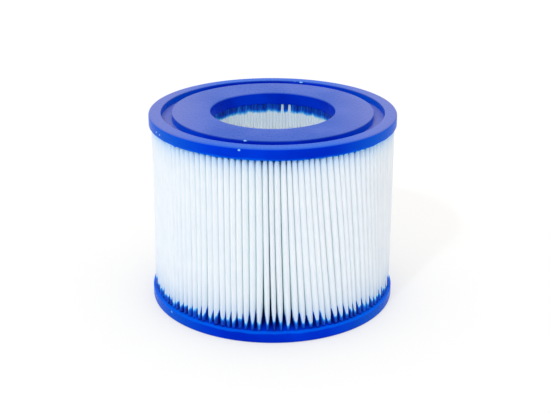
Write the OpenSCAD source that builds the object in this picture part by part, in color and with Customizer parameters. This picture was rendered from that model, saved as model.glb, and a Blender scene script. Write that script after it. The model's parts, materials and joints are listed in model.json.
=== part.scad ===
// Pleated filter cartridge for a spa pump.
// A long strip of cloth is folded into a ring of pleats, its two ends are closed by a bead of
// adhesive, and a cast cap at each end holds the folds and leaves a bore through the middle.
// The cartridge stands on its bottom cap, with Z along the bore and zero at the base.

/* [Overall] */
// Height over both end caps
cartridge_h = 83.5; // [60:0.5:160]
// Outer diameter of the end caps
cap_d = 106; // [104:1:120]
// Diameter of the bore through the end caps
bore_d = 53.4; // [48:0.1:54]

/* [End caps] */
// Thickness of a cap at its rim
rim_t = 4.8; // [4.5:0.1:8]
// Height of the lip round the bore, on the inner face
lip_rise = 0.4; // [0.2:0.1:1]
// Width of the lip
lip_w = 0.4; // [0.2:0.05:0.45]
// Radius of the outer edge
edge_r = 1.4; // [0.5:0.1:2]
// Radius of the other edges
soft_r = 0.3; // [0.1:0.05:0.4]
// Depth of the ring groove in the outer face
groove_depth = 3.2; // [0.6:0.1:3.2]
// Diameter of the groove's inner wall
groove_inner_d = 86.2; // [70:0.1:89]
// Diameter of the groove's outer wall
groove_outer_d = 95.8; // [90:0.1:98]
// Thickness of the casting between the groove's floor and the cloth
end_skin = 0.3; // [0.2:0.1:0.8]

/* [Pleated cloth] */
// Number of pleats
pleat_count = 120; // [60:1:126]
// Thickness of the cloth
cloth_t = 0.5; // [0.3:0.05:0.5]
// How far the folds lie inside the caps' rims
fold_inset = 0.8; // [0.4:0.1:2]
// How far the inner folds stand back from the bore
bore_clearance = 0.6; // [0.5:0.1:1]
// Width of an outer fold
outer_fold_w = 1.9; // [1.4:0.1:2.1]
// Width of the slot inside an inner fold
inner_slot_w = 0.2; // [0.1:0.05:0.25]

/* [Seam] */
// Direction of the pleat that holds the seam
seam_angle = 90; // [0:1:359]
// How far the bead reaches in from the outer folds
bead_depth = 8; // [3:0.5:15]
// How far the bead stops short of the outer folds
bead_inset = 0.4; // [0.1:0.1:1]

/* [Hidden] */

cap_r = cap_d / 2;
bore_r = bore_d / 2;
lip_t = rim_t + lip_rise;
arc_steps = 4;
round_fn = 180;

pitch = 360 / pleat_count;
outer_r = cap_r - fold_inset;
inner_r = bore_r + bore_clearance;
fold_bevel = 0.35;
cloth_z = groove_depth + end_skin;
cloth_h = cartridge_h - 2 * cloth_z;

// Point at radius r in direction a, moved sideways by s.
function polar(r, a, s) = [r * cos(a) - s * sin(a), r * sin(a) + s * cos(a)];

// Point that lies the share k of the way from p to q.
function between(p, q, k) = p + (q - p) * k;

// Part of a circle of radius r about the centre c, from angle a on through the angle sweep.
function arc(c, r, a, sweep = 90) =
    [for (i = [0:arc_steps])
        let (b = a + sweep * i / arc_steps) c + r * [cos(b), sin(b)]];

// Direction of pleat i, counted round from the seam.
function pleat_dir(i) = seam_angle + i * pitch;

// Face of the cloth that looks outwards, at pleat i: over its outer fold.
function outer_fold(i) =
    let (a = pleat_dir(i), half = outer_fold_w / 2)
    [
        polar(outer_r - fold_bevel, a, -half),
        polar(outer_r, a, -half + fold_bevel),
        polar(outer_r, a, half - fold_bevel),
        polar(outer_r - fold_bevel, a, half),
    ];

// The same face at the inner fold that follows pleat i: round the bottom of the slot.
function outer_slot(i) =
    let (a = pleat_dir(i + 0.5), half = inner_slot_w / 2)
    [polar(inner_r + cloth_t, a, -half), polar(inner_r + cloth_t, a, half)];

// Face of the cloth that looks to the bore, under the outer fold of pleat i.
function inner_slot(i) =
    let (a = pleat_dir(i), half = outer_fold_w / 2 - cloth_t)
    [polar(outer_r - cloth_t, a, -half), polar(outer_r - cloth_t, a, half)];

// The same face over the inner fold that follows pleat i.
function inner_fold(i) =
    let (a = pleat_dir(i + 0.5), half = inner_slot_w / 2 + cloth_t)
    [polar(inner_r, a, -half), polar(inner_r, a, half)];

// One side of the seam pleat, where the strip ends: side is 1 for its start and -1 for its end.
function strip_end(side, s) = polar(outer_r, seam_angle, side * s);

// Outline of the folded strip: round its outward face, and back along its inward face.
function strip_outline() = concat(
    [strip_end(1, outer_fold_w / 2)],
    outer_slot(0),
    [for (i = [1:pleat_count - 1]) each concat(outer_fold(i), outer_slot(i))],
    [strip_end(-1, outer_fold_w / 2)],
    [strip_end(-1, outer_fold_w / 2 - cloth_t)],
    [for (i = [pleat_count - 1:-1:1]) each concat(back(inner_fold(i)), back(inner_slot(i)))],
    back(inner_fold(0)),
    [strip_end(1, outer_fold_w / 2 - cloth_t)]
);

// A pair of points in the other order.
function back(pair) = [pair[1], pair[0]];

// Share of the pleat's wall that lies the distance d in from the outer folds.
function wall_share(d) = d / (outer_r - inner_r);

// Point on the inward face of the seam pleat's wall, the distance d in from the outer folds.
function seam_wall(side, d) =
    let (
        start = strip_end(side, outer_fold_w / 2 - cloth_t),
        finish = side > 0 ? inner_fold(0)[0] : inner_fold(pleat_count - 1)[1]
    )
    between(start, finish, wall_share(d));

// Outline of the bead between the two walls of the seam pleat.
function bead_outline() = [
    seam_wall(-1, bead_inset),
    seam_wall(-1, bead_depth),
    seam_wall(1, bead_depth),
    seam_wall(1, bead_inset),
];

// Section of a cap as radius and height, with its outer face down.
function cap_section() = concat(
    arc([bore_r + soft_r, soft_r], soft_r, 180),
    arc([groove_inner_d / 2 - soft_r, soft_r], soft_r, 270),
    [[groove_inner_d / 2, groove_depth]],
    [[groove_outer_d / 2, groove_depth]],
    arc([groove_outer_d / 2 + soft_r, soft_r], soft_r, 180),
    arc([cap_r - edge_r, edge_r], edge_r, 270),
    arc([cap_r - soft_r, rim_t - soft_r], soft_r, 0),
    [[bore_r + lip_w, rim_t]],
    arc([bore_r + lip_w / 2, lip_t - lip_w / 2], lip_w / 2, 0, 180)
);

// Space that the cloth and the bead take up, from one sunk end to the other.
module cloth_space() {
    translate([0, 0, cloth_z]) linear_extrude(cloth_h) polygon(strip_outline());
}

module bead_space() {
    translate([0, 0, cloth_z]) linear_extrude(cloth_h) polygon(bead_outline());
}

module cap_casting() {
    rotate_extrude($fn = round_fn) polygon(cap_section());
}

module bottom_end_cap() {
    color([0.02, 0.2, 0.84])
    difference() {
        cap_casting();
        cloth_space();
        bead_space();
    }
}

module top_end_cap() {
    color([0.02, 0.2, 0.84])
    difference() {
        translate([0, 0, cartridge_h]) mirror([0, 0, 1]) cap_casting();
        cloth_space();
        bead_space();
    }
}

module pleated_media() {
    color([0.95, 0.97, 1]) cloth_space();
}

module media_seam() {
    color([0.9, 0.9, 0.82]) bead_space();
}

bottom_end_cap();
top_end_cap();
pleated_media();
media_seam();
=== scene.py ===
# Pleated filter cartridge: the looks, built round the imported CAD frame.
# Lengths in the dictionaries are millimetres and angles are degrees, unless a note says otherwise.
import json

import bmesh
import bpy
import numpy as np
from mathutils import Matrix, Vector


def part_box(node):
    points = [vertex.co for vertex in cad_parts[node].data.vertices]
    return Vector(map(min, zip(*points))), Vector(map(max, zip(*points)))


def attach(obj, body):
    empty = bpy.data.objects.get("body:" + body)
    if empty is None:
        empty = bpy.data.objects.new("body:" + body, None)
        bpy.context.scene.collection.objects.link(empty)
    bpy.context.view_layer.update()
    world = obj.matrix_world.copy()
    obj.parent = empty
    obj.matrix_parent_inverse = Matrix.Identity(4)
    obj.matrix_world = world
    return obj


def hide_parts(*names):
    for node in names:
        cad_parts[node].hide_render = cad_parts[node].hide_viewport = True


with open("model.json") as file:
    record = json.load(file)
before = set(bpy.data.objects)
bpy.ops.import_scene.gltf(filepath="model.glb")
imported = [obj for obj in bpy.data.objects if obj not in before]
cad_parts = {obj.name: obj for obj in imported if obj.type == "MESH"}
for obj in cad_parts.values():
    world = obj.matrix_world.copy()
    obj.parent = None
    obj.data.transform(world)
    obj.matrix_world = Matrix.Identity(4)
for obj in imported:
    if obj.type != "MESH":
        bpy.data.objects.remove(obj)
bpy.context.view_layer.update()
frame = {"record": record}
scene = bpy.context.scene
mm = 0.001


# the camera looks down at the front, a little over 21 degrees
cameraSetup = {
    "place": (0.0, -467.6, 223.0),
    "aim": (1.0, 0.0, 66.9),
    "roll": 0.2,
    "lens": 74.6,
    "sensor": 36.0,
    "shiftUp": -0.109,
    "clip": (10.0, 20000.0),
}


def placeCamera(setup):
    data = bpy.data.cameras.new("camera")
    data.lens, data.sensor_width, data.shift_y = setup["lens"], setup["sensor"], setup["shiftUp"]
    data.clip_start, data.clip_end = (far * mm for far in setup["clip"])
    camera = bpy.data.objects.new("camera", data)
    scene.collection.objects.link(camera)
    place, aim = Vector(setup["place"]) * mm, Vector(setup["aim"]) * mm
    turn = (aim - place).to_track_quat("-Z", "Y").to_matrix().to_4x4()
    roll = Matrix.Rotation(np.radians(setup["roll"]), 4, "Z")
    camera.matrix_world = Matrix.Translation(place) @ turn @ roll
    scene.camera = camera


placeCamera(cameraSetup)
print("camera placed")


# sizes read from the frame, in metres
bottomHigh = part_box("bottom_end_cap")[1]
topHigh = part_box("top_end_cap")[1]
clothLow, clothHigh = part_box("pleated_media")
seamLow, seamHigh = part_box("media_seam")
boreMount = next(m for m in frame["record"]["mounts"] if m["name"] == "bore_top")

capR = round(bottomHigh.x / mm) * mm
boreR = boreMount["dims"]["r_mm"] * mm
cartridgeH = topHigh.z
clothR = clothHigh.x
seamAngle = np.arctan2(seamLow.y + seamHigh.y, seamLow.x + seamHigh.x)


def smoothStep(low, high, value):
    # 0 below low, 1 above high, and 3t^2 - 2t^3 between them
    t = np.clip((value - low) / (high - low), 0.0, 1.0)
    return t * t * (3.0 - 2.0 * t)


def bell(value, middle, reach, power=2.0):
    # 1 at the middle, falling off as exp(-(distance / reach)^power)
    return np.exp(-(np.abs((value - middle) / reach) ** power))


def ringNoise(rng, angles, slowest, fastest):
    # sum of cosines with whole numbers of waves round the ring, scaled to unit spread
    waves = np.arange(slowest, fastest + 1)
    phases = rng.uniform(0.0, 2.0 * np.pi, len(waves))
    sizes = rng.normal(1.0, 0.3, len(waves))
    total = (sizes * np.cos(angles[..., None] * waves + phases)).sum(-1)
    return total / np.sqrt(0.5 * (sizes**2).sum())


def fromFront(angles):
    # degrees round from the front, positive to the right
    return (np.degrees(angles) + 270.0) % 360.0 - 180.0


def gridFaces(rows, columns, closeRows, closeColumns):
    # quads between neighbouring grid points, wrapping where a direction is closed
    r = np.arange(rows if closeRows else rows - 1)[:, None]
    c = np.arange(columns if closeColumns else columns - 1)[None, :]
    rNext, cNext = (r + 1) % rows, (c + 1) % columns
    corners = [r * columns + c, r * columns + cNext, rNext * columns + cNext, rNext * columns + c]
    return np.stack(np.broadcast_arrays(*corners), -1).reshape(-1, 4)


def meshPiece(name, points, faces, uvs=None):
    # one mesh object from an array of points and an array of quads, with UVs given per face corner
    mesh = bpy.data.meshes.new(name)
    mesh.vertices.add(len(points))
    mesh.vertices.foreach_set("co", points.astype(np.float32).ravel())
    mesh.loops.add(faces.size)
    mesh.loops.foreach_set("vertex_index", faces.astype(np.int32).ravel())
    mesh.polygons.add(len(faces))
    mesh.polygons.foreach_set("loop_start", np.arange(0, faces.size, 4, dtype=np.int32))
    mesh.update(calc_edges=True)
    for layer, values in (uvs or {}).items():
        mesh.uv_layers.new(name=layer).data.foreach_set("uv", values.astype(np.float32).ravel())
    mesh.validate()
    mesh.shade_smooth()
    piece = bpy.data.objects.new(name, mesh)
    scene.collection.objects.link(piece)
    return piece


# The cloth is one strip, folded to and fro. Its outer folds are soft ridges that spread until they
# touch their neighbours, and are drawn in to sharp creases where the end caps hold them.
cloth = {
    "pleats": 120,
    "thickness": 0.45,
    "endInset": 0.1,  # how far its ends stop inside the CAD strip's
    "tipWidth": 2.8,  # an outer fold where nothing crowds it
    "tipDepth": 1.25,  # how far in a fold's ridge reaches
    "frontDepth": 0.9,  # and how much further in front
    "frontReach": 11.2,
    "shallowest": 0.25,  # share of its depth that a tightly drawn fold keeps
    "tipPower": 1.4,  # 2 would be a half ellipse, 1 a roof
    "tipPoints": 7,
    "tipInset": 0.1,  # the folds' tips from the cloth's full radius
    "tipUneven": 0.16,
    "tipBow": 0.1,
    "leastInset": 0.02,
    "tipGap": 0.01,  # between neighbouring outer folds
    "gapSpread": 0.03,
    "gape": 0.7,  # extra gap between the folds in front, widest at the bottom
    "gapeCentre": 0.0,  # from the front
    "gapeReach": 8.0,
    "gapeVary": (0.3, 1.2),
    "gapeTop": 0.2,  # share of it left at the top
    "gapePower": 2.2,
    "creaseLow": (0.32, 4.0),  # share of its width that a fold loses at the bottom cap, and how far up
    "creaseFront": (0.3, 8.0),  # the same again for the folds in front
    "creaseFrontReach": 10.4,
    "creaseHigh": (0.28, 3.2),
    "creaseVary": (0.88, 1.08),
    "creaseHighVary": (0.6, 1.3),
    "slit": 0.06,  # half the room left inside the tightest fold
    "foldWidth": 1.42,  # an inner fold, outside to outside
    "foldDepth": 0.1,
    "foldStandOff": 0.6,  # inner folds behind the bore wall
    "foldUneven": 0.05,
    "foldPoints": 4,
    "foldWander": 0.008,
    "foldLean": 0.55,  # share of the lean that the inner folds take up
    "lean": 8.0,  # how far the pleats on the right lean over their whole height
    "leanCentre": 45.0,
    "leanReach": 38.0,
    "leanDrift": 0.5,
    "wander": 0.15,
    "wanderShares": (1.6, 1.1, 0.9),  # slowly round the ring, from fold to fold, and along a fold
    "wallBow": 0.05,
    "stopsInwards": (0.14, 0.55),  # where a wall's middle points lie
    "stopsOutwards": (0.45, 0.86),
    "rows": 24,
    "evenRows": 0.35,  # share of even spacing, and the rest is closer near the end caps
    "seed": 21,
}


def pleatPositions(c, share):
    # direction, half widths (back and ahead) and radius of each outer fold at every height,
    # and direction of each inner fold
    rng = np.random.default_rng(c["seed"])
    n = c["pleats"]
    base = seamAngle + 2.0 * np.pi * np.arange(n) / n
    around = fromFront(base)
    spread = c["wander"] * mm / clothR
    slowShare, quickShare, fineShare = c["wanderShares"]
    slow = ringNoise(rng, base, 7, 22) * spread * slowShare
    quick = rng.normal(0.0, spread * quickShare, n)
    fine = rng.normal(0.0, spread * fineShare, n)
    bow = (ringNoise(rng, base, 9, 30) + ringNoise(rng, base, 5, 16)) * spread
    lean = np.radians(c["lean"]) * bell(around, c["leanCentre"], c["leanReach"], 4.0)
    lean = lean + np.radians(c["leanDrift"]) * ringNoise(rng, base, 1, 4)
    rise = 0.5 - share[:, None]
    tips = base + slow + quick + rise * (lean + 2.0 * fine) + np.sin(np.pi * share)[:, None] * bow
    folds = base + np.pi / n + c["foldLean"] * rise * (lean + np.roll(lean, -1)) / 2.0
    folds = folds + rng.normal(0.0, c["foldWander"] * mm / boreR, n)
    gap = c["tipGap"] + np.abs(rng.normal(0.0, c["gapSpread"], n))
    front = bell(around + 180.0 / n, c["gapeCentre"], c["gapeReach"]) * rng.uniform(*c["gapeVary"], n)
    widening = c["gapeTop"] + (1.0 - c["gapeTop"]) * (1.0 - share[:, None]) ** c["gapePower"]
    gap = gap + c["gape"] * front * widening
    room = (np.roll(tips, -1, 1) - tips) % (2.0 * np.pi) * (clothR - c["tipDepth"] * mm) - gap * mm
    ahead = np.minimum(c["tipWidth"] * mm, room) / 2.0
    halves = np.stack([np.roll(ahead, 1, 1), ahead])
    aboveLow = (clothHigh.z - clothLow.z) * share / mm + clothLow.z / mm - cap["rimThickness"]
    belowHigh = cartridgeH / mm - 2.0 * cap["rimThickness"] - aboveLow
    creases = (c["creaseLow"], aboveLow), (c["creaseFront"], aboveLow), (c["creaseHigh"], belowHigh)
    low, front, high = (
        amount * np.exp(-np.maximum(far, 0.0) / reach)[:, None] for (amount, reach), far in creases
    )
    low = low + front * bell(around, c["gapeCentre"], c["creaseFrontReach"])
    creased = low * rng.uniform(*c["creaseVary"], n) + high * rng.uniform(*c["creaseHighVary"], n)
    halves = np.maximum(halves * (1.0 - creased), (c["thickness"] / 2.0 + c["slit"]) * mm)
    radii = clothR - c["tipInset"] * mm - np.abs(rng.normal(0.0, c["tipUneven"] * mm, n))
    bowed = np.sin(np.pi * share)[:, None] * (ringNoise(rng, base, 3, 12) - 1.0)
    radii = radii + c["tipBow"] * mm * bowed
    return tips, halves, np.minimum(radii, clothR - c["leastInset"] * mm), folds


def clothMiddle(c, share):
    # middle of the cloth at each height, in the plane of that height: ridges over the outer folds
    # (superellipses, |x|^p + |y|^p = 1), gently bowed walls, and half ellipses round the inner folds
    tips, halves, radii, folds = pleatPositions(c, share)
    rng = np.random.default_rng(c["seed"] + 1)
    t = c["thickness"] * mm
    full = c["tipWidth"] * mm
    turn = np.radians(np.linspace(-90.0, 90.0, c["tipPoints"]))
    half = np.where(turn < 0.0, halves[0][..., None], halves[1][..., None]) - t / 2.0
    around = fromFront(seamAngle + 2.0 * np.pi * np.arange(c["pleats"]) / c["pleats"])
    deep = c["tipDepth"] + c["frontDepth"] * bell(around, c["gapeCentre"], c["frontReach"])
    drawn = np.clip(halves.sum(0) / full, c["shallowest"], 1.0)
    deep = (deep * mm - t / 2.0)[:, None] * drawn[..., None]
    bend = 2.0 / c["tipPower"]
    tipR = radii[..., None] - t / 2.0 - deep * (1.0 - np.abs(np.cos(turn)) ** bend)
    tipS = half * np.sign(turn) * np.abs(np.sin(turn)) ** bend
    foldTurn = np.radians(np.linspace(-90.0, 90.0, c["foldPoints"]))
    foldHalf = (c["foldWidth"] * mm - t) / 2.0
    foldR = boreR + c["foldStandOff"] * mm + t / 2.0 + c["foldDepth"] * mm * (1.0 - np.cos(foldTurn))
    foldShape = tips.shape + (c["foldPoints"],)
    uneven = rng.normal(0.0, c["foldUneven"] * mm, c["pleats"])[:, None]
    foldR = np.broadcast_to(foldR, foldShape) + uneven
    foldS = np.broadcast_to(foldHalf * np.sin(foldTurn), foldShape)

    def place(r, s, angle):
        # points at radius r in the direction of the angle, moved sideways by s
        a = angle[..., None]
        return np.stack([r * np.cos(a) - s * np.sin(a), r * np.sin(a) + s * np.cos(a)], -1)

    def wall(start, end, stops, bow):
        # points on the line from start to end, pushed aside by bow * sin(pi * share of the way)
        along = end - start
        across = np.stack([-along[..., 1], along[..., 0]], -1)
        across = across / np.linalg.norm(across, axis=-1, keepdims=True)
        k = np.array(stops)[:, None]
        push = across[..., None, :] * (bow[:, None, None] * np.sin(np.pi * k))
        return start[..., None, :] + along[..., None, :] * k + push

    tip, fold = place(tipR, tipS, tips), place(foldR, foldS, folds)
    bow = rng.normal(0.0, c["wallBow"] * mm, (2, c["pleats"]))
    inwards = wall(tip[..., -1, :], fold[..., 0, :], c["stopsInwards"], bow[0])
    outwards = wall(fold[..., -1, :], np.roll(tip, -1, 1)[..., 0, :], c["stopsOutwards"], bow[1])
    return np.concatenate([tip, inwards, fold, outwards], -2).reshape(len(share), -1, 2)


def openAtSeam(middle, c):
    # the strip starts and ends at the tip of pleat 0, which keeps two points on each side
    return np.concatenate([middle[:, c["tipPoints"] - 2 :], middle[:, :2]], 1)


def clothHeights(c):
    # rows are close near the end caps, where the folds are drawn in, and further apart between them
    u = np.linspace(0.0, 1.0, c["rows"])
    return c["evenRows"] * u + (1.0 - c["evenRows"]) * (0.5 - 0.5 * np.cos(np.pi * u))


# The map for baking: the strip is cut into bands laid one above another. What shows, at the folds
# and near the end caps, takes more of it than the walls between, and the cut edges have thin rows.
bakeMap = {
    "outward": 5,  # bands for the face that looks outwards
    "inward": 2,
    "nearCap": 12.0,
    "nearCapShare": 2.2,
    "hiddenShare": 0.12,
    "outerShown": 8.0,  # depth of the outer folds that shows outside
    "innerShown": 3.0,  # and of the inner folds in the bore
    "edge": 0.02,
    "thinEdge": 0.003,
    "width": 0.985,
    "startColumn": (0.993, 0.988),
    "stopColumn": (0.995, 1.0),
}


def bandedMap(c, middle, heights, faceRow, faceColumn, rowStep, columnStep):
    # u runs along the strip within a face's band, and v up the cloth from the band's own foot
    rows = len(middle)
    steps = np.linalg.norm(np.diff(middle[rows // 2], axis=0), axis=1)
    far = np.linalg.norm(middle[rows // 2], axis=1)
    far = (far[1:] + far[:-1]) / 2.0
    nearEnd = np.minimum(heights[1:] - heights[0], heights[-1] - heights[:-1]) < c["nearCap"] * mm
    run = np.cumsum(np.diff(heights) * np.where(nearEnd, c["nearCapShare"], 1.0))
    run = np.concatenate([[0.0], run])
    run = c["edge"] + run / run[-1] * (1.0 - 2.0 * c["edge"])
    level = np.concatenate([run, run[::-1]])
    inside = (faceRow >= rows) & (faceRow < 2 * rows - 1)
    v = level[(faceRow[:, None] + rowStep) % (2 * rows)]
    v = np.where((faceRow[:, None] == rows - 1) & (rowStep == 1), 1.0 - c["thinEdge"], v)
    v = np.where((faceRow[:, None] == 2 * rows - 1) & (rowStep == 0), c["thinEdge"], v)
    u = np.zeros(v.shape)
    band = np.zeros(len(faceRow), int)
    for first, count, hidden, side in (
        (0, c["outward"], far < clothR - c["outerShown"] * mm, ~inside),
        (c["outward"], c["inward"], far > boreR + c["innerShown"] * mm, inside),
    ):
        along = np.concatenate([[0.0], np.cumsum(steps * np.where(hidden, c["hiddenShare"], 1.0))])
        along = along / along[-1] * count
        mine = np.minimum(along[:-1].astype(int), count - 1)
        mine = np.minimum.accumulate(mine[::-1])[::-1]
        low = np.array([along[:-1][mine == k].min() for k in range(count)])
        high = np.array([along[1:][mine == k].max() for k in range(count)])
        k = mine[faceColumn][:, None]
        reach = (along[faceColumn[:, None] + columnStep] - low[k]) / (high[k] - low[k])
        u = np.where(side[:, None], c["width"] * reach, u)
        band = np.where(side, first + k[:, 0], band)
    return np.stack([u, (band[:, None] + v) / (c["outward"] + c["inward"])], -1)


def cutEndMaps(c, rows):
    # two thin columns beside the bands, for the strip's start and for its end
    j = np.arange(rows - 1)
    v = np.stack([j, j + 1, j + 1, j], -1) / (rows - 1.0)
    start = np.repeat(c["startColumn"], 2)
    stop = np.repeat(c["stopColumn"], 2)
    startMap = np.stack([np.broadcast_to(start, v.shape), v], -1)
    stopMap = np.stack([np.broadcast_to(stop, v.shape), v[:, ::-1]], -1)
    return startMap, stopMap


def makeCloth(c):
    # the strip's outward and inward faces lie half the thickness either side of its middle
    share = clothHeights(c)
    middle = openAtSeam(clothMiddle(c, share), c)
    low, high = clothLow.z + c["endInset"] * mm, clothHigh.z - c["endInset"] * mm
    heights = low + (high - low) * share
    ahead = np.concatenate([middle[:, 1:], middle[:, -1:]], 1)
    behind = np.concatenate([middle[:, :1], middle[:, :-1]], 1)
    along = ahead - behind
    along = along / np.linalg.norm(along, axis=-1, keepdims=True)
    outwards = np.stack([along[..., 1], -along[..., 0]], -1) * (c["thickness"] * mm / 2.0)
    rows, columns = middle.shape[:2]
    z = np.broadcast_to(heights[:, None, None], (rows, columns, 1))
    outside = np.concatenate([middle + outwards, z], -1)
    inside = np.concatenate([middle - outwards, z], -1)[::-1]
    loop = np.concatenate([outside, inside], 0)
    faces = gridFaces(2 * rows, columns, True, False)
    rowStep, columnStep = np.array([[0, 0, 1, 1]]), np.array([[0, 1, 1, 0]])
    faceRow = np.repeat(np.arange(2 * rows), columns - 1)
    faceColumn = np.tile(np.arange(columns - 1), 2 * rows)
    bands = bandedMap(bakeMap, middle, heights, faceRow, faceColumn, rowStep, columnStep)
    j = np.arange(rows - 1)
    startEnd = np.stack([j, j + 1, 2 * rows - 2 - j, 2 * rows - 1 - j], -1) * columns
    stopEnd = startEnd[:, ::-1] + columns - 1
    steps = np.linalg.norm(np.diff(middle[rows // 2], axis=0), axis=1)
    length = np.concatenate([[0.0], np.cumsum(steps)])
    allFaces = np.concatenate([faces, startEnd, stopEnd])
    row, column = np.divmod(allFaces, columns)
    upright = np.minimum(row, 2 * rows - 1 - row)
    uvs = {
        "strip": np.stack([length[column], heights[upright]], -1),
        "OFBake": np.concatenate([bands, *cutEndMaps(bakeMap, rows)]),
    }
    piece = meshPiece("filter_cloth", loop.reshape(-1, 3), allFaces, uvs)
    flat = (high - low, float(length[-1]))
    print("cloth: %d faces, strip %.3f x %.3f m" % (len(allFaces), flat[0], flat[1]))
    return piece, flat


# Each end cap is cast round the folds: level outside, and climbing between the pleats inside.
cap = {
    "rimThickness": 4.8,
    "lipHeight": 0.4,
    "lipWidth": 0.45,
    "grooveInner": 43.1,
    "grooveOuter": 47.8,
    "grooveDepth": 3.0,
    "boreRound": 0.5,
    "edgeRound": 0.2,
    "outerRound": 0.8,
    "innerRound": 0.35,
    "fillet": 0.12,
    "lipRound": 0.15,
    "step": 1.0,  # the longest straight piece of the section
    "columns": 720,
    "climb": 1.6,  # how high the casting climbs between the pleats
    "climbOver": (-0.5, 4.5),  # depths from the cloth's outside over which it rises
    "climbLess": 0.75,  # share of it that is lost again
    "climbLessOver": (19.0, 25.0),
    "uneven": (0.28, 0.15),  # from pleat to pleat, and slowly round the ring
    "unevenLimits": (0.4, 1.7),
    "rimEdge": 0.6,  # height of the rim's inner edge that is uneven
    "rimWave": 0.05,
    "drip": 0.22,
    "dripFrom": 1.5,  # only where its noise is above this
    "lipWave": 0.13,
    "seed": 5,
}


def roundedOutline(corners, radii, step):
    # closed outline with each corner swapped for an arc that touches both its sides,
    # and the straight stretches between them cut to pieces no longer than step
    corners = np.array(corners, float)
    before, after = np.roll(corners, 1, 0), np.roll(corners, -1, 0)
    arcs = []
    for corner, back, ahead, radius in zip(corners, before, after, radii):
        u = (back - corner) / np.linalg.norm(back - corner)
        v = (ahead - corner) / np.linalg.norm(ahead - corner)
        half = 0.5 * np.arccos(np.clip(u @ v, -1.0, 1.0))
        centre = corner + (u + v) / np.linalg.norm(u + v) * radius / np.sin(half)
        first, last = corner + u * radius / np.tan(half), corner + v * radius / np.tan(half)
        a, b = first - centre, last - centre
        sweep = np.arctan2(a[0] * b[1] - a[1] * b[0], a @ b)
        turns = np.linspace(0.0, sweep, 6)[:, None]
        side = np.array([-a[1], a[0]])
        arcs.append(centre + a * np.cos(turns) + side * np.sin(turns))
    outline = []
    for arc, following in zip(arcs, arcs[1:] + arcs[:1]):
        gap = following[0] - arc[-1]
        count = max(int(np.linalg.norm(gap) / step), 1)
        outline.append(arc)
        outline.append(arc[-1] + gap * (np.arange(1, count)[:, None] / count))
    return np.concatenate(outline)


def castingSection(c):
    # section of a cap as radius and height in millimetres, with its outer face down
    rim, lip = c["rimThickness"], c["rimThickness"] + c["lipHeight"]
    bore, outer = boreR / mm, capR / mm
    corners = [
        ((bore, 0.0), c["boreRound"]),
        ((c["grooveInner"], 0.0), c["edgeRound"]),
        ((c["grooveInner"], c["grooveDepth"]), c["fillet"]),
        ((c["grooveOuter"], c["grooveDepth"]), c["fillet"]),
        ((c["grooveOuter"], 0.0), c["edgeRound"]),
        ((outer, 0.0), c["outerRound"]),
        ((outer, rim), c["innerRound"]),
        ((bore + c["lipWidth"], rim), c["fillet"]),
        ((bore + c["lipWidth"], lip), c["lipRound"]),
        ((bore, lip), c["lipRound"]),
    ]
    return roundedOutline([place for place, _ in corners], [radius for _, radius in corners], c["step"])


def makeCap(c, name, flip, seed):
    # the section swept round the axis, with noise round the ring added to its inner face's height
    section = castingSection(c)
    rng = np.random.default_rng(seed)
    angles = 2.0 * np.pi * np.arange(c["columns"]) / c["columns"]
    r = np.broadcast_to(section[:, :1], (len(section), c["columns"])).copy()
    z = np.broadcast_to(section[:, 1:], r.shape).copy()
    rim = c["rimThickness"]
    lipEdge = boreR / mm + c["lipWidth"] + 0.1
    onPotting = (z > rim - 0.02) & (r > lipEdge) & (r < capR / mm - 0.3)
    depth = clothR / mm - r
    climb = smoothStep(*c["climbOver"], depth)
    climb = climb * (1.0 - c["climbLess"] * smoothStep(*c["climbLessOver"], depth))
    quick, slow = c["uneven"]
    uneven = 1.0 + quick * ringNoise(rng, angles, 20, 70) + slow * ringNoise(rng, angles, 3, 9)
    z = z + np.where(onPotting, c["climb"] * climb * np.clip(uneven, *c["unevenLimits"]), 0.0)
    onRimEdge = (z > rim - c["rimEdge"]) & (r > clothR / mm)
    drips = np.maximum(ringNoise(rng, angles, 25, 90) - c["dripFrom"], 0.0) * c["drip"]
    z = z + np.where(onRimEdge, c["rimWave"] * ringNoise(rng, angles, 8, 40) + drips, 0.0)
    onLip = (z > rim) & (r < lipEdge)
    z = z + np.where(onLip, c["lipWave"] * ringNoise(rng, angles, 4, 36), 0.0)
    z = np.maximum(z, 0.0)
    height = cartridgeH / mm - z if flip else z
    points = np.stack([r * np.cos(angles), r * np.sin(angles), height], -1) * mm
    faces = gridFaces(len(section), c["columns"], True, True)
    steps = np.linalg.norm(np.diff(np.concatenate([section, section[:1]]), axis=0), axis=1)
    run = np.concatenate([[0.0], np.cumsum(steps)])
    run = run / run[-1]
    row, column = np.divmod(np.arange(len(section) * c["columns"]), c["columns"])
    u = (column[:, None] + np.array([0, 1, 1, 0])) / c["columns"]
    v = run[row[:, None] + np.array([0, 0, 1, 1])]
    if flip:
        faces, u, v = faces[:, ::-1], u[:, ::-1], v[:, ::-1]
    piece = meshPiece(name, points.reshape(-1, 3), faces, {"OFBake": np.stack([u, v], -1)})
    print("%s: %d faces" % (name, len(faces)))
    return piece


# The bead of adhesive closes the strip's two ends inside the rearmost pleat.
bead = {
    "width": 0.55,
    "depth": 8.0,
    "bulge": 0.5,  # how far its rounded nose stands out
    "inset": 0.75,  # from the folds' tips to where the nose starts
    "endInset": 0.25,
    "wave": 0.16,
    "rows": 90,
    "seed": 3,
}


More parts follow.
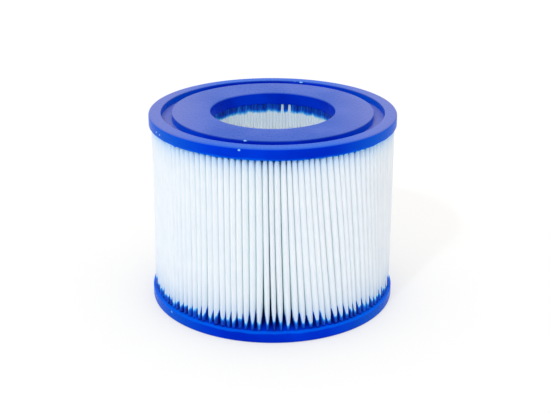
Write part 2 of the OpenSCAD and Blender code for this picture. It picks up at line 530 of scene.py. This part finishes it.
def makeBead(c):
    # a flat bar with a rounded, slightly wavy nose, carried up the seam pleat
    rng = np.random.default_rng(c["seed"])
    turn = np.radians(np.linspace(-90.0, 90.0, 7))
    nose = np.stack([np.cos(turn) * c["bulge"], np.sin(turn) * c["width"] * 0.5], -1)
    tail = np.array([[-c["depth"], 0.5], [-c["depth"] * 0.66, 0.5], [-c["depth"] * 0.33, 0.5]])
    tail = tail * [1.0, c["width"]]
    outline = np.concatenate([nose, tail[::-1], tail * [1.0, -1.0]])
    share = np.linspace(0.0, 1.0, c["rows"])
    swell = 1.0 + c["wave"] * ringNoise(rng, share * np.pi, 3, 26)
    swell = np.where(outline[:, 0] > 0, swell[:, None], 1.0)
    radial = clothR / mm - c["inset"] + outline[:, 0] * swell
    sideways = outline[:, 1] * swell
    low, high = clothLow.z + c["endInset"] * mm, clothHigh.z - c["endInset"] * mm
    z = np.broadcast_to((low + (high - low) * share)[:, None], radial.shape)
    x = radial * np.cos(seamAngle) - sideways * np.sin(seamAngle)
    y = radial * np.sin(seamAngle) + sideways * np.cos(seamAngle)
    points = np.stack([x * mm, y * mm, z], -1)
    rows, columns = radial.shape
    faces = gridFaces(rows, columns, False, True)
    ends = []
    for row, order in ((0, -1), (rows - 1, 1)):
        left = row * columns + np.arange(columns // 2)
        right = row * columns + (columns - 1 - np.arange(columns // 2))
        quads = np.stack([left[:-1], left[1:], right[1:], right[:-1]], -1)
        ends.append(quads[:, ::order])
    piece = meshPiece("seam_bead", points.reshape(-1, 3), np.concatenate([faces, *ends]))
    print("seam bead: %d faces" % len(faces))
    return piece


# Small bubbles that burst at the surface of the castings: degrees round from the front, distance
# from the axis, height and radius. A height below zero is measured down from the top face.
bubbles = {
    "places": (
        (164.0, 47.85, -0.42, 0.7),
        (167.5, 48.1, -0.21, 0.35),
        (-14.5, 43.1, -0.36, 0.58),
        (-14.5, 48.0, -0.22, 0.35),
        (-14.2, 52.75, -0.95, 0.6),
        (-60.3, 52.85, -2.95, 0.45),
        (-64.0, 52.88, -2.8, 0.45),
        (-53.5, 52.85, 3.5, 0.5),
    ),
    "flatness": 0.55,
    "length": 1.5,  # along the ring
}


def makeBubbles(c):
    # each is a ball flattened towards the axis or, at the groove, towards the base
    body = bmesh.new()
    for around, far, height, size in c["places"]:
        turn = np.radians(around - 90.0)
        z = height if height > 0.0 else cartridgeH / mm + height
        level = far < cap["grooveOuter"] + 1.0
        squash = (1.0, c["length"], c["flatness"]) if level else (c["flatness"], c["length"], 1.0)
        place = Matrix.Translation(Vector((far * np.cos(turn), far * np.sin(turn), z)) * mm)
        place = place @ Matrix.Rotation(turn, 4, "Z") @ Matrix.Diagonal((*squash, 1.0))
        bmesh.ops.create_icosphere(body, subdivisions=2, radius=size * mm, matrix=place)
    mesh = bpy.data.meshes.new("cast_bubbles")
    body.to_mesh(mesh)
    body.free()
    mesh.shade_smooth()
    piece = bpy.data.objects.new("cast_bubbles", mesh)
    scene.collection.objects.link(piece)
    print("bubbles: %d faces" % len(mesh.polygons))
    return piece


filterCloth, clothFlat = makeCloth(cloth)
bottomCasting = makeCap(cap, "bottom_cap_casting", False, cap["seed"])
topCasting = makeCap(cap, "top_cap_casting", True, cap["seed"] + 1)
seamBead = makeBead(bead)
castBubbles = makeBubbles(bubbles)


def newMaterial(name):
    material = bpy.data.materials.new(name)
    material.use_nodes = True
    tree = material.node_tree
    shader = tree.nodes["Principled BSDF"]
    return material, tree, shader


def join(tree, source, socket):
    # a number or colour is set on the socket, and anything else is linked to it
    if isinstance(source, (int, float, tuple)):
        socket.default_value = source
    else:
        tree.links.new(source, socket)


def mathNode(tree, operation, *values):
    node = tree.nodes.new("ShaderNodeMath")
    node.operation = operation
    for value, socket in zip(values, node.inputs):
        join(tree, value, socket)
    return node.outputs[0]


def rangeNode(tree, value, fromLow, fromHigh, toLow, toHigh, smooth=True):
    node = tree.nodes.new("ShaderNodeMapRange")
    node.interpolation_type = "SMOOTHSTEP" if smooth else "LINEAR"
    for source, socket in zip((value, fromLow, fromHigh, toLow, toHigh), node.inputs):
        join(tree, source, socket)
    return node.outputs[0]


def noiseNode(tree, vector, scale, detail=2.0, roughness=0.5):
    node = tree.nodes.new("ShaderNodeTexNoise")
    join(tree, vector, node.inputs["Vector"])
    join(tree, scale, node.inputs["Scale"])
    join(tree, detail, node.inputs["Detail"])
    join(tree, roughness, node.inputs["Roughness"])
    return node.outputs["Fac"]


def rampNode(tree, factor, stops):
    node = tree.nodes.new("ShaderNodeValToRGB")
    join(tree, factor, node.inputs["Fac"])
    marks = node.color_ramp.elements
    while len(marks) < len(stops):
        marks.new(0.5)
    for mark, (position, colour) in zip(marks, stops):
        mark.position = position
        mark.color = (*colour, 1.0)
    return node.outputs["Color"]


def mixNode(tree, factor, first, second):
    node = tree.nodes.new("ShaderNodeMix")
    node.data_type = "RGBA"
    join(tree, factor, node.inputs[0])
    for source, socket in ((first, node.inputs[6]), (second, node.inputs[7])):
        join(tree, (*source, 1.0) if isinstance(source, tuple) else source, socket)
    return node.outputs[2]


def bumpNode(tree, height, strength, distance, normal=None):
    node = tree.nodes.new("ShaderNodeBump")
    join(tree, height, node.inputs["Height"])
    join(tree, strength, node.inputs["Strength"])
    join(tree, distance, node.inputs["Distance"])
    if normal is not None:
        tree.links.new(normal, node.inputs["Normal"])
    return node.outputs["Normal"]


def places(tree):
    # object coordinates, the same with height left out, and height and distance from the axis in mm
    coords = tree.nodes.new("ShaderNodeTexCoord").outputs["Object"]
    split = tree.nodes.new("ShaderNodeSeparateXYZ")
    tree.links.new(coords, split.inputs[0])
    flat = tree.nodes.new("ShaderNodeVectorMath")
    flat.operation = "MULTIPLY"
    flat.inputs[1].default_value = (1.0, 1.0, 0.0)
    tree.links.new(coords, flat.inputs[0])
    far = tree.nodes.new("ShaderNodeVectorMath")
    far.operation = "LENGTH"
    tree.links.new(flat.outputs[0], far.inputs[0])
    height = mathNode(tree, "MULTIPLY", split.outputs[2], 1.0 / mm)
    radius = mathNode(tree, "MULTIPLY", far.outputs["Value"], 1.0 / mm)
    return coords, flat.outputs[0], height, radius


# Cast polyurethane: deep blue walls, painted lighter to the left and right, level faces painted paler as
# a painted sheen, and azure at the rim's edge by the cloth, partly thin casting and partly a painted
# highlight.
casting = {
    "deep": (0.0, 0.022, 0.54),
    "clear": (0.0, 0.040, 0.69),
    # painted reflection: the level faces, the ring's among them, are painted paler as a sheen of the
    # bright surroundings
    "paintedSheen": (0.032, 0.095, 0.47),
    "paintedSheenClear": (0.064, 0.125, 0.51),
    "paintedSheenSide": (0.145, 0.175, 0.50),  # the painted sheen to the left and right, paler still
    "paintedSheenSideShare": 0.85,
    "ring": (0.028, 0.123, 0.60),
    "paintedSideGlow": (0.0, 0.10, 0.66),  # painted light: the walls to the left and right are painted a lighter azure, as if light came through them
    "glowFrom": (20.0, 48.0),
    "thin": (0.0, 0.13, 0.84),  # the rim's edge next to the cloth: partly thin casting, partly a painted highlight where the ledge catches light
    "thinFrom": (1.0, 0.1),
    "thinShare": 0.7,
    "cloudScale": 45.0,
    "skinScale": 160.0,
    "grainScale": 900.0,
    "roughness": 0.3,
    "roughnessVary": 0.05,
    "specular": 0.03,
    "facingTint": (0.05, 0.3, 1.0, 1.0),
}


def castingMaterial(c):
    material, tree, shader = newMaterial("cast_polyurethane")
    coords, flat, height, radius = places(tree)
    split = tree.nodes.new("ShaderNodeSeparateXYZ")
    tree.links.new(flat, split.inputs[0])
    cloud = rangeNode(tree, noiseNode(tree, coords, c["cloudScale"], 3.0), 0.35, 0.68, 0.0, 1.0)
    grain = noiseNode(tree, coords, c["grainScale"], 1.0, 0.5)
    skin = noiseNode(tree, coords, c["skinScale"], 2.0)
    fromFace = mathNode(tree, "MINIMUM", height, mathNode(tree, "SUBTRACT", cartridgeH / mm, height))
    # walls, painted lighter to the left and right as painted light
    wall = mixNode(tree, cloud, c["deep"], c["clear"])
    across = mathNode(tree, "ABSOLUTE", mathNode(tree, "MULTIPLY", split.outputs[0], 1.0 / mm))
    wall = mixNode(tree, rangeNode(tree, across, *c["glowFrom"], 0.0, 1.0), wall, c["paintedSideGlow"])
    # level faces, which are the outer face and the groove's floor between its walls, painted paler as a
    # painted sheen
    face = mixNode(tree, cloud, c["paintedSheen"], c["paintedSheenClear"])
    onRing = rangeNode(tree, radius, cap["grooveOuter"] - 0.5, cap["grooveOuter"] + 0.5, 0.0, 1.0)
    face = mixNode(tree, onRing, face, c["ring"])
    toSides = rangeNode(tree, across, *c["glowFrom"], 0.0, c["paintedSheenSideShare"])
    face = mixNode(tree, toSides, face, c["paintedSheenSide"])
    level = rangeNode(tree, fromFace, 0.1, 0.6, 1.0, 0.0)
    inGroove = mathNode(tree, "SUBTRACT", fromFace, cap["grooveDepth"])
    inGroove = rangeNode(tree, mathNode(tree, "ABSOLUTE", inGroove), 0.05, 0.25, 1.0, 0.0)
    clearOfWalls = rangeNode(tree, radius, cap["grooveInner"], cap["grooveInner"] + 0.15, 0.0, 1.0)
    beyond = rangeNode(tree, radius, cap["grooveOuter"] - 0.15, cap["grooveOuter"], 1.0, 0.0)
    inGroove = mathNode(tree, "MULTIPLY", inGroove, mathNode(tree, "MULTIPLY", clearOfWalls, beyond))
    colour = mixNode(tree, mathNode(tree, "MAXIMUM", level, inGroove), wall, face)
    # the rim's edge by the cloth: azure, partly thin casting and partly a painted highlight
    wavy = mathNode(tree, "ADD", fromFace, rangeNode(tree, skin, 0.3, 0.7, -0.3, 0.3, smooth=False))
    start, stop = (cap["rimThickness"] - below for below in c["thinFrom"])
    atEdge = rangeNode(tree, wavy, start, stop, 0.0, c["thinShare"])
    outside = rangeNode(tree, radius, clothR / mm - 0.8, clothR / mm, 0.0, 1.0)
    colour = mixNode(tree, mathNode(tree, "MULTIPLY", atEdge, outside), colour, c["thin"])
    join(tree, colour, shader.inputs["Base Color"])
    vary = c["roughnessVary"]
    rough = mathNode(tree, "ADD", rangeNode(tree, grain, 0.3, 0.7, -vary, vary), c["roughness"])
    join(tree, rough, shader.inputs["Roughness"])
    fine = bumpNode(tree, grain, 0.02, 0.0001)
    join(tree, bumpNode(tree, skin, 0.08, 0.0003, fine), shader.inputs["Normal"])
    shader.inputs["Specular IOR Level"].default_value = c["specular"]
    shader.inputs["Specular Tint"].default_value = c["facingTint"]
    return material


# Spunbond polyester: white, with bonded dimples, soaked blue where the casting has crept up it, with
# painted shade between the pleats and near the caps.
# Depths are measured in from the outer folds, and heights from the caps' inner faces.
fabric = {
    "white": (0.875, 0.92, 0.98),
    "shade": (0.85, 0.90, 0.97),
    # the darkest navy stops are darker than the casting itself: partly soaked cloth, partly painted shade
    # on the flanks between the folds and at their feet
    "soaked": (
        (0.0, (0.875, 0.92, 0.98)),
        (0.15, (0.30, 0.70, 0.97)),
        (0.32, (0.03, 0.36, 0.90)),
        (0.55, (0.0, 0.09, 0.66)),
        (1.0, (0.0, 0.012, 0.28)),
    ),
    "valleyShade": (0.76, 0.95, 0.92),  # painted shade deep between the pleats, tinted green-blue
    "valleyShadeShare": 0.8,
    "valleyShadeOver": (0.6, 3.0),
    "innerOver": (20.0, 23.0),  # depths at which the walls turn into the inner folds
    "paintedCapShade": (0.0, 0.27, 0.68),  # painted shade, tinted blue, that fades away from the lower cap
    "paintedCapShadeTop": (0.04, 0.46, 1.0),  # and from the upper one
    "capShadeLow": (0.75, 5.6),  # how strong at the cap, and how far up it reaches
    "capShadeHigh": (0.6, 3.1),
    "capShadeLimit": 0.55,
    "lowSoak": (3.8, 3.0, 3.0),  # height soaked at outer folds, more on their flanks, at inner folds
    "highSoak": (0.45, 0.8, 4.2),
    "flankOver": (0.3, 1.6),
    "lessSide": (-40.0, -8.0),  # the flanks are less soaked towards the left
    "lessShare": 0.3,
    "tipLimit": 0.7,  # outer and inner folds are held paler than the flanks between them: partly less soaked, partly painted shade on the flanks
    "tipOver": (0.25, 1.3),
    "footDark": (0.4, 2.0),  # heights between which an outer fold's foot darkens, partly painted shade where it meets the cap
    "boreLimit": 0.68,
    "bareFolds": (4.3, 7.5),  # inner folds at the back that the casting missed, to the right
    "bareOver": (0.4, 0.65),
    "bareShare": 0.1,
    "boreBlue": (0.66, 0.88, 1.0),  # bluer tint on the inner folds below the soaked band
    "boreBlueFade": (4.0, 20.0, 0.45, 0.1),  # from and to which depth below the cap, and how strong there
    # painted light: the inner folds in the bore are painted whiter than the outer cloth, to brighten them
    "boreWhiteLightened": (0.97, 1.0, 1.0),
    "feather": 0.55,  # softness of the soaked edge
    "fibreReach": 0.35,  # and how far threads of blue run up or stop short
    "dimpleScale": 900.0,
    "threadScale": 4200.0,
    "relief": 0.00008,
    "specular": 0.15,
    "scatter": 0.3,
    "scatterReach": 0.6,
}


def soakNode(tree, c, flat, side, bare, height, depth, fibre, amounts):
    # 1 where the casting has soaked the cloth, 0 where it is dry, at this height above a cap
    tip, flank, inner = amounts
    patch = rangeNode(tree, noiseNode(tree, flat, 420.0, 2.0), 0.3, 0.7, 0.6, 1.4, smooth=False)
    fold = noiseNode(tree, flat, 380.0, 1.0)
    onFlank = rangeNode(tree, depth, *c["flankOver"], 0.0, flank)
    onFlank = mathNode(tree, "MULTIPLY", onFlank, side)
    outer = mathNode(tree, "MULTIPLY", mathNode(tree, "ADD", onFlank, tip), patch)
    ragged = rangeNode(tree, patch, 0.6, 1.4, 0.88 * inner, 1.12 * inner, smooth=False)
    within = mathNode(tree, "MULTIPLY", ragged, bare)
    atFolds = rangeNode(tree, depth, *c["innerOver"], 0.0, 1.0)
    outer = mathNode(tree, "MULTIPLY", outer, mathNode(tree, "SUBTRACT", 1.0, atFolds))
    rise = mathNode(tree, "ADD", outer, mathNode(tree, "MULTIPLY", within, atFolds))
    over = mathNode(tree, "SUBTRACT", mathNode(tree, "ADD", rise, fibre), height)
    limit = rangeNode(tree, depth, *c["tipOver"], c["tipLimit"], 1.0)
    limit = mathNode(tree, "MAXIMUM", limit, rangeNode(tree, height, *c["footDark"], 1.0, 0.0))
    limit = mathNode(tree, "MINIMUM", limit, rangeNode(tree, depth, *c["innerOver"], 1.0, c["boreLimit"]))
    streak = rangeNode(tree, fold, 0.3, 0.7, 0.6, 1.35, smooth=False)
    soak = rangeNode(tree, over, -c["feather"], 3.0 * c["feather"], 0.0, 1.0, smooth=False)
    return mathNode(tree, "MULTIPLY", soak, mathNode(tree, "MULTIPLY", limit, streak))


def capShadeNode(tree, c, far, amount, reach):
    # painted shade near a cap: amount * exp(-far / reach), held below a limit
    fade = mathNode(tree, "EXPONENT", mathNode(tree, "DIVIDE", far, -reach))
    return mathNode(tree, "MINIMUM", mathNode(tree, "MULTIPLY", fade, amount), c["capShadeLimit"])


def clothMaterial(c):
    material, tree, shader = newMaterial("spunbond_cloth")
    coords, flat, height, radius = places(tree)
    depth = mathNode(tree, "SUBTRACT", clothR / mm, radius)
    aboveLow = mathNode(tree, "SUBTRACT", height, cap["rimThickness"])
    belowHigh = mathNode(tree, "SUBTRACT", cartridgeH / mm - cap["rimThickness"], height)
    split = tree.nodes.new("ShaderNodeSeparateXYZ")
    tree.links.new(flat, split.inputs[0])
    across = mathNode(tree, "MULTIPLY", split.outputs[0], 1.0 / mm)
    # soaked ends
    side = rangeNode(tree, across, *c["lessSide"], c["lessShare"], 1.0)
    reach = c["fibreReach"]
    fibre = noiseNode(tree, coords, 2600.0, 3.0, 0.7)
    fibre = rangeNode(tree, fibre, 0.3, 0.7, -reach, reach, smooth=False)
    first, second = (
        mathNode(tree, "ABSOLUTE", mathNode(tree, "SUBTRACT", across, place)) for place in c["bareFolds"]
    )
    nearer = mathNode(tree, "MINIMUM", first, second)
    bare = rangeNode(tree, nearer, *c["bareOver"], c["bareShare"], 1.0)
    bare = mathNode(tree, "MAXIMUM", bare, mathNode(tree, "LESS_THAN", split.outputs[1], 0.0))
    low = soakNode(tree, c, flat, side, bare, aboveLow, depth, fibre, c["lowSoak"])
    high = soakNode(tree, c, flat, side, bare, belowHigh, depth, fibre, c["highSoak"])
    soak = mathNode(tree, "MAXIMUM", low, high)
    # dry cloth, with painted shade in the valleys and near the caps, and painted light on the inner folds
    # in the bore
    tint = rangeNode(tree, noiseNode(tree, coords, 120.0, 3.0), 0.35, 0.65, 0.0, 1.0)
    dry = mixNode(tree, tint, c["white"], c["shade"])
    boreTint = rangeNode(tree, belowHigh, *c["boreBlueFade"])
    inside = rangeNode(tree, depth, *c["innerOver"], 0.0, 1.0)
    inValleyShade = rangeNode(tree, depth, *c["valleyShadeOver"], 0.0, c["valleyShadeShare"])
    dry = mixNode(tree, inValleyShade, dry, c["valleyShade"])
    dry = mixNode(tree, capShadeNode(tree, c, aboveLow, *c["capShadeLow"]), dry, c["paintedCapShade"])
    dry = mixNode(tree, capShadeNode(tree, c, belowHigh, *c["capShadeHigh"]), dry, c["paintedCapShadeTop"])
    dry = mixNode(tree, inside, dry, c["boreWhiteLightened"])
    dry = mixNode(tree, mathNode(tree, "MULTIPLY", boreTint, inside), dry, c["boreBlue"])
    wet = rampNode(tree, soak, c["soaked"])
    damp = rangeNode(tree, soak, 0.0, 0.12, 0.0, 1.0)
    join(tree, mixNode(tree, damp, dry, wet), shader.inputs["Base Color"])
    join(tree, rangeNode(tree, soak, 0.2, 0.9, 0.92, 0.38), shader.inputs["Roughness"])
    # bonded dimples along the strip, and threads
    strip = tree.nodes.new("ShaderNodeUVMap")
    strip.uv_map = "strip"
    bonds = tree.nodes.new("ShaderNodeTexVoronoi")
    bonds.inputs["Scale"].default_value = c["dimpleScale"]
    tree.links.new(strip.outputs[0], bonds.inputs["Vector"])
    dimple = rangeNode(tree, bonds.outputs["Distance"], 0.1, 0.45, 0.0, 1.0)
    threads = noiseNode(tree, coords, c["threadScale"], 3.0, 0.7)
    weave = bumpNode(tree, threads, 0.35, c["relief"])
    join(tree, bumpNode(tree, dimple, 0.25, c["relief"], weave), shader.inputs["Normal"])
    shader.inputs["Specular IOR Level"].default_value = c["specular"]
    shader.inputs["Subsurface Weight"].default_value = c["scatter"]
    shader.inputs["Subsurface Radius"].default_value = (1.0, 1.0, 1.0)
    shader.inputs["Subsurface Scale"].default_value = c["scatterReach"] * mm
    return material


# Set adhesive: slightly yellow, milky in places.
adhesive = {"clear": (0.78, 0.76, 0.62), "milky": (0.86, 0.86, 0.78), "cloudScale": 420.0}


def adhesiveMaterial(c):
    material, tree, shader = newMaterial("seam_adhesive")
    coords, _, _, _ = places(tree)
    cloud = noiseNode(tree, coords, c["cloudScale"], 3.0)
    colour = mixNode(tree, rangeNode(tree, cloud, 0.35, 0.65, 0.0, 1.0), c["clear"], c["milky"])
    join(tree, colour, shader.inputs["Base Color"])
    join(tree, rangeNode(tree, cloud, 0.3, 0.7, 0.28, 0.45), shader.inputs["Roughness"])
    join(tree, bumpNode(tree, cloud, 0.3, 0.0002), shader.inputs["Normal"])
    return material


# A burst bubble, painted paler than the casting round it as a painted glint.
bubble = {"pale": (0.30, 0.68, 0.95), "blue": (0.06, 0.33, 0.86), "cloudScale": 1500.0}


def bubbleMaterial(c):
    material, tree, shader = newMaterial("burst_bubble")
    coords, _, _, _ = places(tree)
    cloud = noiseNode(tree, coords, c["cloudScale"], 2.0)
    colour = mixNode(tree, rangeNode(tree, cloud, 0.4, 0.6, 0.0, 1.0), c["blue"], c["pale"])
    join(tree, colour, shader.inputs["Base Color"])
    join(tree, rangeNode(tree, cloud, 0.3, 0.7, 0.2, 0.4), shader.inputs["Roughness"])
    join(tree, bumpNode(tree, cloud, 0.2, 0.0001), shader.inputs["Normal"])
    return material


castBlue = castingMaterial(casting)
bottomCasting.data.materials.append(castBlue)
topCasting.data.materials.append(castBlue)
filterCloth.data.materials.append(clothMaterial(fabric))
seamBead.data.materials.append(adhesiveMaterial(adhesive))
castBubbles.data.materials.append(bubbleMaterial(bubble))
print("materials made")


# A pale floor, a white sky that is brighter overhead, and one lamp from the front left.
studio = {
    "floorSize": 8.0,  # metres
    "floorWhite": 0.5,  # share of plain white that the camera sees in the floor
    "floorColour": (0.84, 0.825, 0.80, 1.0),
    "ambient": (0.40, 1.46),  # at the horizon and overhead
    "lampFrom": (-35.9, -65.9, 66.1),  # only its direction counts
    "lampColour": (0.8, 0.9, 1.0),
    "lampStrength": 0.62,
    "lampSpread": 3.5,  # degrees
}


def lightShare(tree):
    # 1 for a ray from the camera, or one that gloss or glass sends on
    path = tree.nodes.new("ShaderNodeLightPath")
    seen = mathNode(tree, "MAXIMUM", path.outputs["Is Camera Ray"], path.outputs["Is Glossy Ray"])
    return mathNode(tree, "MAXIMUM", seen, path.outputs["Is Transmission Ray"])


def makeStudio(c):
    half = c["floorSize"] / 2.0
    corners = np.array([[-half, -half, 0.0], [half, -half, 0.0], [half, half, 0.0], [-half, half, 0.0]])
    floor = meshPiece("floor", corners, np.array([[0, 1, 2, 3]]))
    material, tree, shader = newMaterial("floor")
    shader.inputs["Base Color"].default_value = c["floorColour"]
    shader.inputs["Roughness"].default_value = 0.9
    shader.inputs["Specular IOR Level"].default_value = 0.0
    glow = tree.nodes.new("ShaderNodeEmission")
    mix = tree.nodes.new("ShaderNodeMixShader")
    join(tree, mathNode(tree, "MULTIPLY", lightShare(tree), c["floorWhite"]), mix.inputs[0])
    tree.links.new(shader.outputs[0], mix.inputs[1])
    tree.links.new(glow.outputs[0], mix.inputs[2])
    tree.links.new(mix.outputs[0], tree.nodes["Material Output"].inputs["Surface"])
    floor.data.materials.append(material)

    world = bpy.data.worlds.new("studio")
    world.use_nodes = True
    scene.world = world
    skyTree = world.node_tree
    sky = skyTree.nodes["Background"]
    sky.inputs["Color"].default_value = (1.0, 1.0, 1.0, 1.0)
    coords = skyTree.nodes.new("ShaderNodeTexCoord")
    up = skyTree.nodes.new("ShaderNodeSeparateXYZ")
    skyTree.links.new(coords.outputs["Generated"], up.inputs[0])
    ambient = rangeNode(skyTree, up.outputs[2], 0.0, 1.0, *c["ambient"])
    strength = rangeNode(skyTree, lightShare(skyTree), 0.0, 1.0, ambient, 1.0, smooth=False)
    join(skyTree, strength, sky.inputs["Strength"])

    data = bpy.data.lights.new("lamp", "SUN")
    data.energy, data.angle = c["lampStrength"], np.radians(c["lampSpread"])
    data.color = c["lampColour"]
    lamp = bpy.data.objects.new("lamp", data)
    scene.collection.objects.link(lamp)
    lamp.rotation_euler = Vector(c["lampFrom"]).to_track_quat("Z", "Y").to_euler()


makeStudio(studio)
scene.view_settings.view_transform = "Standard"
print("studio lit")


# how the pieces belong to the frame
for piece in (filterCloth, bottomCasting, topCasting, seamBead, castBubbles):
    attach(piece, "root")
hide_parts("pleated_media")
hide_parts("bottom_end_cap")
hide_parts("top_end_cap")
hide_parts("media_seam")
